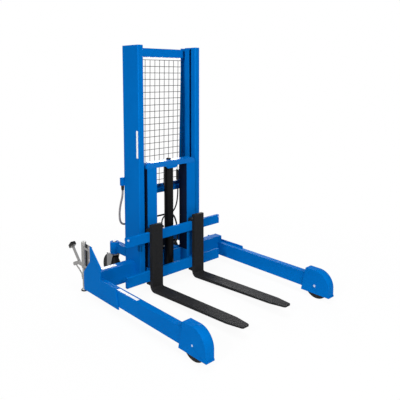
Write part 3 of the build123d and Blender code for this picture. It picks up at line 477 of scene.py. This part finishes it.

# Flat bar along the mesh's right edge, which leans a little more than the wires, in blue darkened as painted
# shade
BAR_X = 0.2657
BAR_WIDTH = 24
BAR_LEAN = Vector((0.029, 0, 1))
bar_centre = Vector((BAR_X, upright_y, (NET_LOW[2] + NET_HIGH[2]) / 2))
bar_size = (BAR_WIDTH, MM * net_height)
panel("mesh_edge_bar", bar_centre, (X, BAR_LEAN), bar_size, MAST_SHADED_BLUE, thickness=3.0, corner=2.0)

# Weld seams from start to end on the right half, which the left half mirrors
MAST_SEAM = 2.2
MAST_SEAMS = {
    "leg_top": ((594, 69, 172.5), (638, 69, 172.5)),
    "leg_inner": ((591.5, 69, 84), (591.5, 69, 171)),
    "upright_front": ((308, 69, 84), (308, 69, 221)),
    "upright_top": ((308, 72, 222), (308, 144, 222)),
    "plate_front": ((640.5, -178, 172), (640.5, 14, 172)),
    "arm_top": ((262, 205, 302), (304, 205, 302)),
    "arm_side": ((307, 205, 230), (307, 205, 300)),
    "mid_front": ((277.5, 195, 702), (277.5, 195, 764)),
    "mid_rear": ((277, 204.2, 702), (277, 204.2, 764)),
    "top_front": ((277.5, 195, 1802), (277.5, 195, 1866)),
    "top_rear": ((277, 204.2, 1802), (277, 204.2, 1866)),
}
CARRIAGE_SEAM = 1.8
CARRIAGE_SEAMS = {
    "post_front": ((155, -15.2, 950), (240, -15.2, 950)),
    "post_inner": ((152.8, -11, 950), (152.8, 50, 950)),
    "pad_upper": ((162, -15.5, 401.5), (234, -15.5, 401.5)),
    "pad_side": ((159.5, -15.5, 404), (159.5, -15.5, 442)),
}


def weld_side(prefix, sign, seams, radius, body):
    """All weld seams of a body on one side."""
    for seam, ends in seams.items():
        start, end = [place(sign * x, y, z) for x, y, z in ends]
        weld_bead(f"{prefix}_{seam}", start, end, radius, body)


for side, sign in SIDES:
    weld_side(f"{side}_weld", sign, MAST_SEAMS, MAST_SEAM, "mast_base")
    weld_side(f"{side}_carriage_weld", sign, CARRIAGE_SEAMS, CARRIAGE_SEAM, "carriage")

# Painted shade: dark navy strips on both sides of the posts stand for the shade there
INNER_STRIP = (93, 716)
OUTER_STRIP = (78, 768)
STRIP_PLATE = 1.6
for side, sign in SIDES:
    inner = place(sign * POST_INNER, 33.5, 590)
    outer = place(sign * POST_OUTER, 26, 564)
    panel(f"{side}_post_shade_strip", inner, (-Y * sign, Z), INNER_STRIP, POST_SHADE_STRIP, STRIP_PLATE, corner=3.0)
    panel(f"{side}_outer_shade_strip", outer, (Y * sign, Z), OUTER_STRIP, POST_SHADE_STRIP, STRIP_PLATE, corner=3.0)

# Screws of the mesh strips
SCREW = [(5.5, 0), (5.5, 0.8), (4.8, 2.4), (2.8, 3.4), (0.6, 3.7)]
SCREW_SIDES = 16
STRIP_SCREWS = 6
STRIP_SCREW_STEP = 192
for side, sign in SIDES:
    for row in range(STRIP_SCREWS):
        spot = place(sign * 292, 188, 790 + row * STRIP_SCREW_STEP)
        lathe(f"{side}_strip_screw_{row}", spot, -Y, SCREW, PAINTED_SCREW, SCREW_SIDES)

# Pull knobs of the fork locks, on the shanks' inner sides
KNOB = [(5, 0), (5, 4), (9, 6), (11, 9), (11, 14), (9, 18), (5, 20)]
for side, sign in SIDES:
    spot = place(sign * 163, -80, 505)
    lathe(f"{side}_fork_knob", spot, X * -sign, KNOB, (PLASTIC, f"{side}_fork", "black_plastic"))

# Floor lock: gusset, rib and bolts of the bracket; the gusset's black steel is painted shade in the gap
# between the plunger tube and the bracket
LOCK_PLATE = 6.0
GUSSET_SHADE_FINISH = (FORK, "mast_base", "black_paint")
RIB_FINISH = (CAST, "mast_base", "bright_steel")
panel("lock_gusset", place(-627, 235, 308), LEFT_FACE, (26, 172), GUSSET_SHADE_FINISH, LOCK_PLATE, corner=4.0)
panel("lock_rib", place(-627, 213, 308), LEFT_FACE, (18, 172), RIB_FINISH, LOCK_PLATE, corner=4.0)
HEX_SIDES = 6
HEX_HEAD = [(9.5, 0), (9.5, 5.5), (8.2, 6.5)]
for row, height in enumerate((292, 384)):
    lathe(f"lock_bolt_{row}", place(-640, 174, height), -X, HEX_HEAD, MAST_STEEL, HEX_SIDES)

# Ribs on the pedal's rubber
PRESS = Vector((0, 1, 1)).normalized()
ALONG_PAD = Vector((0, -1, 1)).normalized()
PAD_REACH = 0.041
PAD_RIBS = 4
PAD_RIB_STEP = 0.0095
PAD_FINISH = (RUBBER, "lock_pedal", "black_rubber")
pad_face = place(-623, 450, 314) + PRESS * PAD_REACH
for row in range(PAD_RIBS):
    spot = pad_face + ALONG_PAD * (PAD_RIB_STEP * (row - (PAD_RIBS - 1) / 2))
    panel(f"pad_rib_{row}", spot, (X, ALONG_PAD), (26, 4.5), PAD_FINISH, thickness=1.4, corner=2.0)

# Blackened nut that holds the crossbar on the ram
NUT = [(17.2, 0), (19.2, 1.2), (19.2, 9.6), (17.5, 11.2), (11.5, 11.6), (11.5, 13.0), (9.5, 14.2)]
lathe("ram_nut_black", place(0, 31, 993), Z, NUT, (BLACK, "carriage", "black_paint"), HEX_SIDES)

# Pump motor: bands and top screws
MOTOR = place(-115, 265, 0)
MOTOR_TOP = 0.545
MOTOR_SCREW_CIRCLE = 0.034
MOTOR_BAND = [(55.2, 0), (56.6, 1), (56.6, 11), (55.2, 12)]
for row, height in enumerate((382, 508)):
    lathe(f"motor_band_{row}", MOTOR + Z * (height / MM), Z, MOTOR_BAND, MAST_STEEL, sides=48)
for index, angle in enumerate((35, 145, 270)):
    turn = math.radians(angle)
    x = math.cos(turn) * MOTOR_SCREW_CIRCLE
    y = math.sin(turn) * MOTOR_SCREW_CIRCLE
    lathe(f"motor_screw_{index}", MOTOR + Vector((x, y, MOTOR_TOP)), Z, SCREW, MAST_STEEL, SCREW_SIDES)

# Tank and battery
FILLER_CAP = [(8, 0), (8, 3), (11, 4), (11, 13), (10, 15), (6, 16)]
SIGHT_GLASS = [(13, 0), (13, 4), (10, 5), (9, 2.5)]
BATTERY_POST = [(9, 0), (9, 2), (6.5, 3), (6, 12), (4.5, 13)]
lathe("tank_filler_cap", place(-52.5, 300, 334), Z, FILLER_CAP, MAST_PLASTIC)
lathe("tank_sight_glass", place(-115, 330, 285), Y, SIGHT_GLASS, MAST_STEEL)
panel("battery_lid", place(65, 263, 323), TOP_FACE, (168, 132), MAST_PLASTIC, thickness=9.0, corner=8.0)
for index, x in enumerate((10, 120)):
    lathe(f"battery_post_{index}", place(x, 300, 332), Z, BATTERY_POST, MAST_STEEL, sides=20)

# Ends of the hose and the cables
FERRULE = [(8.0, 0), (10.0, 1.5), (10.0, 22), (8.6, 25), (7.4, 30)]
GLAND = [(9.0, 0), (9.0, 4), (8.2, 6), (7.2, 14), (6.4, 16)]
LEAD_COLLAR = [(12.6, 0), (12.6, 16), (11.8, 18), (11.0, 34), (8.6, 40)]
LEAD_GLAND = [(11.0, 0), (11.0, 4), (10.2, 6), (9.2, 18), (8.4, 21)]
lathe("hose_ferrule_unit", place(-95, 190.5, 370), Z, FERRULE, MAST_STEEL)
lathe("hose_ferrule_ram", place(28, 90, 258), X, FERRULE, MAST_STEEL)
lathe("cable_gland_box", place(259, 225, 747), -Z, GLAND, MAST_PLASTIC)
lathe("cable_gland_unit", place(-50, 234.5, 348), X, GLAND, MAST_PLASTIC)
lathe("lead_gland_box", place(-312, 217, 801), -Z, LEAD_COLLAR, MAST_PLASTIC)
lathe("lead_gland_motor", place(-185, 265, 470), -X, LEAD_GLAND, MAST_PLASTIC)

# Control box: bezels and lid screws
BEZEL = [(15, 0), (15, 1.6), (13.5, 3), (11.2, 3), (10.6, 1.2), (10.6, 0)]
LID_SCREW = [(3.2, 0), (3.2, 0.8), (2.4, 1.5), (0.5, 1.8)]
for name, height in (("up", 830.5), ("down", 786.5)):
    lathe(f"{name}_bezel", place(276, 238, height), Y, BEZEL, MAST_STEEL, sides=40)
for index, (x, height) in enumerate(((254, 768), (298, 768), (254, 849), (298, 849))):
    lathe(f"control_screw_{index}", place(x, 237.6, height), Y, LID_SCREW, MAST_STEEL, SCREW_SIDES)


# Hose and cables
def cord(name, route, diameter, material, body):
    """Flexible piece on a smooth line along its route."""
    points = [place(*spot) for spot in route]
    curve = bpy.data.curves.new(name + "_line", "CURVE")
    curve.dimensions = "3D"
    curve.bevel_depth = diameter / 2
    curve.bevel_resolution = 6
    curve.resolution_u = 16
    curve.use_fill_caps = True
    spline = curve.splines.new("NURBS")
    spline.points.add(len(points) - 1)
    for control, point in zip(spline.points, points):
        control.co = (*point, 1.0)
    spline.order_u = 3
    spline.use_endpoint_u = True
    curve.materials.append(material)
    piece = add_object(name + "_shown", curve)
    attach(piece, body)
    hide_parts(name)


HOSE_ROUTE = [
    (-95, 190.5, 372), (-95, 190.5, 436), (-80, 187.5, 474), (-46, 182, 501), (8, 176, 504), (58, 168, 506),
    (108, 155, 513), (147, 145, 488), (164, 138, 436), (170, 130, 384), (168, 119, 334), (148, 105, 290),
    (94, 90, 258), (30, 90, 258),
]
CABLE_ROUTE = [
    (259, 225, 746), (259, 225, 682), (254, 223, 622), (241, 220, 560), (212, 217, 508), (166, 216, 483),
    (118, 218, 484), (84, 221, 455), (78, 225.5, 408), (54, 230.5, 366), (15, 234.5, 348), (-49, 234.5, 348),
]
LEAD_ROUTE = [
    (-312, 217, 784), (-312, 217, 720), (-329, 219, 664), (-340, 220, 610), (-342, 222, 556),
    (-330, 230, 508), (-296, 247, 478), (-250, 265, 470), (-186, 265, 470),
]
cord("hydraulic_hose", HOSE_ROUTE, diameter=0.014, material=RUBBER, body="mast_base")
cord("control_cable", CABLE_ROUTE, diameter=0.012, material=RUBBER, body="mast_base")
cord("power_lead", LEAD_ROUTE, diameter=0.016, material=GREY_SHEATH, body="mast_base")


# Stage: floor, light and camera
scene.view_settings.view_transform = "Standard"
WHITE = (1, 1, 1, 1)


def seen_directly(tree):
    """One for rays from the camera, from gloss and through glass, nought for light on the object."""
    ray = tree.nodes.new("ShaderNodeLightPath")
    total = ray.outputs["Is Camera Ray"]
    for kind in ("Is Glossy Ray", "Is Transmission Ray"):
        either = tree.nodes.new("ShaderNodeMath")
        either.operation = "MAXIMUM"
        tree.links.new(total, either.inputs[0])
        tree.links.new(ray.outputs[kind], either.inputs[1])
        total = either.outputs["Value"]
    return total


FLOOR_REACH = 40.0
FLOOR_CORNERS = [(x * FLOOR_REACH, y * FLOOR_REACH, 0) for x, y in ((-1, -1), (1, -1), (1, 1), (-1, 1))]
floor_mesh = bpy.data.meshes.new("floor")
floor_mesh.from_pydata(FLOOR_CORNERS, [], [(0, 1, 2, 3)])
floor = add_object("floor", floor_mesh)
floor_shader = Shader("floor_white")
floor_shader.set(Base_Color=(0.8, 0.8, 0.8, 1), Roughness=1.0, Specular_IOR_Level=0.0)
floor_mesh.materials.append(floor_shader.material)

# The floor runs out into white beyond the shadow
floor_tree = floor_shader.tree
glow = floor_tree.nodes.new("ShaderNodeEmission")
distance = floor_tree.nodes.new("ShaderNodeVectorMath")
distance.operation = "LENGTH"
floor_shader.link(floor_shader.coords, distance.inputs[0])
spread = floor_tree.nodes.new("ShaderNodeMapRange")
spread.inputs["From Min"].default_value = 0.6
spread.inputs["From Max"].default_value = 2.6
spread.inputs["To Min"].default_value = 0.93
floor_shader.link(distance.outputs["Value"], spread.inputs["Value"])
share = floor_tree.nodes.new("ShaderNodeMath")
share.operation = "MULTIPLY"
floor_shader.link(spread.outputs["Result"], share.inputs[0])
floor_shader.link(seen_directly(floor_tree), share.inputs[1])
blend = floor_tree.nodes.new("ShaderNodeMixShader")
floor_shader.link(share.outputs["Value"], blend.inputs["Fac"])
floor_shader.link(floor_shader.surface.outputs["BSDF"], blend.inputs[1])
floor_shader.link(glow.outputs["Emission"], blend.inputs[2])
floor_shader.link(blend.outputs["Shader"], floor_tree.nodes["Material Output"].inputs["Surface"])

# Dim light from all around, which shows as white
world = bpy.data.worlds.new("studio")
scene.world = world
world.use_nodes = True
world_tree = world.node_tree
background = world_tree.nodes["Background"]
background.inputs["Color"].default_value = WHITE
background.inputs["Strength"].default_value = 0.11
seen = world_tree.nodes.new("ShaderNodeBackground")
seen.inputs["Color"].default_value = WHITE
choice = world_tree.nodes.new("ShaderNodeMixShader")
world_tree.links.new(seen_directly(world_tree), choice.inputs["Fac"])
world_tree.links.new(background.outputs["Background"], choice.inputs[1])
world_tree.links.new(seen.outputs["Background"], choice.inputs[2])
world_tree.links.new(choice.outputs["Shader"], world_tree.nodes["World Output"].inputs["Surface"])


def softbox(name, spot, target, size, power):
    """Area lamp that looks at a target and isn't seen itself."""
    lamp = bpy.data.lights.new(name, "AREA")
    lamp.shape = "RECTANGLE"
    lamp.size = size[0]
    lamp.size_y = size[1]
    lamp.energy = power
    holder = add_object(name, lamp)
    holder.location = spot
    holder.visible_camera = False
    holder.rotation_euler = (Vector(target) - Vector(spot)).to_track_quat("-Z", "Y").to_euler()


softbox("front", (-1.5, -6.0, 4.2), target=(0, 0, 0.8), size=(3.2, 2.2), power=325)
softbox("left", (-10.0, -2.75, 6.4), target=(0, 0, 0.8), size=(2.6, 3.5), power=715)
softbox("top", (0, 0.3, 6.0), target=(0, 0.3, 0), size=(2.5, 2.5), power=150)
softbox("back", (3.6, 4.2, 2.0), target=(0, 0, 0.8), size=(3.6, 1.8), power=150)

CAMERA_TILT = math.radians(90 - 5.69)
CAMERA_TURN = math.radians(-42.69)
camera_data = bpy.data.cameras.new("camera")
camera_data.sensor_width = 36.0
camera_data.lens = 44.84
camera_data.shift_y = -0.1849
camera_data.clip_end = 200.0
camera = add_object("camera", camera_data)
camera.location = place(-2466.0, -3011.2, 1648.0)
camera.rotation_euler = (CAMERA_TILT, 0, CAMERA_TURN)
scene.camera = camera
